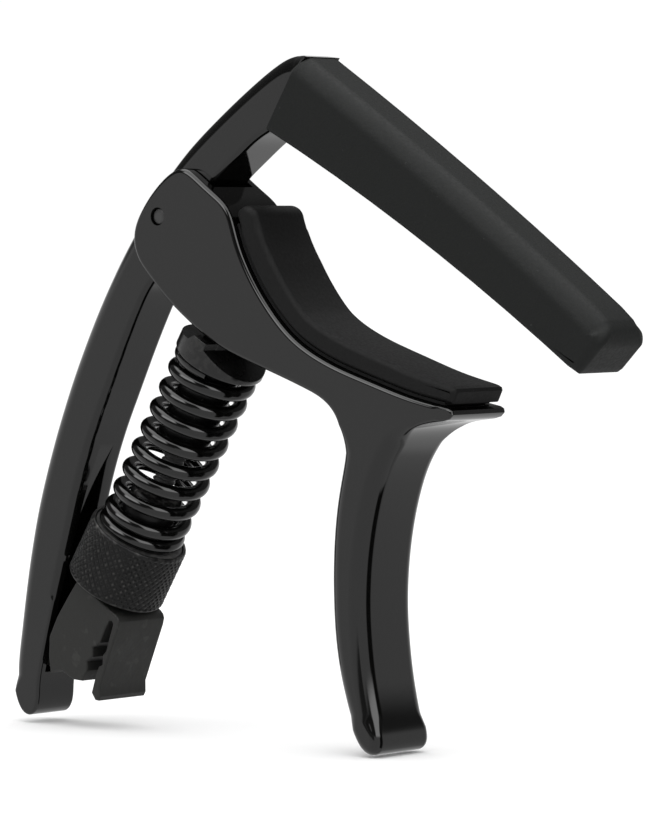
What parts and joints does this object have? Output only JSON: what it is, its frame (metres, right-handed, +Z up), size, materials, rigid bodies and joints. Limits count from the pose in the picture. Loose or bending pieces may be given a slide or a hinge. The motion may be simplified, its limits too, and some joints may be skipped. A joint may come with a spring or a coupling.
{
  "type": "guitar capo",
  "caption": "Trigger-style guitar capo: two sprung levers on a pivot pin, rubber string bar, curved neck pad, knurled tension nut and pick-holder foot.",
  "frame": {"origin": "centre of the bounding box's underside, where the standing capo's footprint is centred; the pivot pin is 20.2 mm behind it and 63.6 mm up", "axes": "+X towards the jaw opening and the trigger, +Y along the pivot pin, +Z up towards the string bar"},
  "size_m": [0.0932, 0.0126, 0.0829],
  "materials": {
    "gloss_black_metal": "gloss black over cast aluminium alloy",
    "satin_black_metal": "satin black",
    "spring_steel": "gloss black coated steel wire",
    "dark_steel": "dull dark steel",
    "grey_rubber": "matte dark grey",
    "black_rubber": "matte black",
    "adhesive": "thin black adhesive film",
    "black_plastic": "matte moulded black"
  },
  "bodies": {
    "rear_lever": {"rear_lever": "gloss_black_metal", "string_pad": "grey_rubber"},
    "front_lever": {"front_lever": "gloss_black_metal", "neck_pad": "black_rubber", "neck_pad_adhesive": "adhesive", "pivot_pin": "dark_steel"},
    "spring_seat": {"spring_seat": "satin_black_metal"},
    "rod_foot": {"pick_holder": "black_plastic", "threaded_rod": "dark_steel", "spring": "spring_steel"},
    "spring_washer": {"spring_washer": "dark_steel"},
    "tension_nut": {"tension_nut": "satin_black_metal"}
  },
  "joints": [
    {"name": "jaw", "type": "hinge", "parent": "rear_lever", "child": "front_lever", "pos_m": [-0.02022, 0, 0.0636], "axis": [0, 1, 0], "range_deg": [0, 12], "deforming": ["spring"]},
    {"name": "seat_swivel", "type": "hinge", "parent": "front_lever", "child": "spring_seat", "pos_m": [-0.01274, 0, 0.04929], "axis": [0, 1, 0], "range_deg": [-14.7, 0]},
    {"name": "foot_tilt", "type": "hinge", "parent": "rear_lever", "child": "rod_foot", "pos_m": [-0.04262, 0, 0.00845], "axis": [0, 1, 0], "range_deg": [-2.6, 0]},
    {"name": "nut_travel", "type": "slide", "parent": "rod_foot", "child": "spring_washer", "axis": [0.5191, 0, 0.8547], "range_m": [0, 0.00176], "deforming": ["spring"]},
    {"name": "nut_spin", "type": "hinge", "parent": "spring_washer", "child": "tension_nut", "pos_m": [-0.02987, 0, 0.02108], "axis": [0.5191, 0, 0.8547], "range_deg": [0, 900]}
  ],
  "couplings": [
    {"joint": "seat_swivel", "follows": "jaw", "ratio": -1.2158},
    {"joint": "foot_tilt", "follows": "jaw", "ratio": -0.2158},
    {"joint": "nut_travel", "follows": "nut_spin", "m_per_rad": 0.00011141}
  ]
}
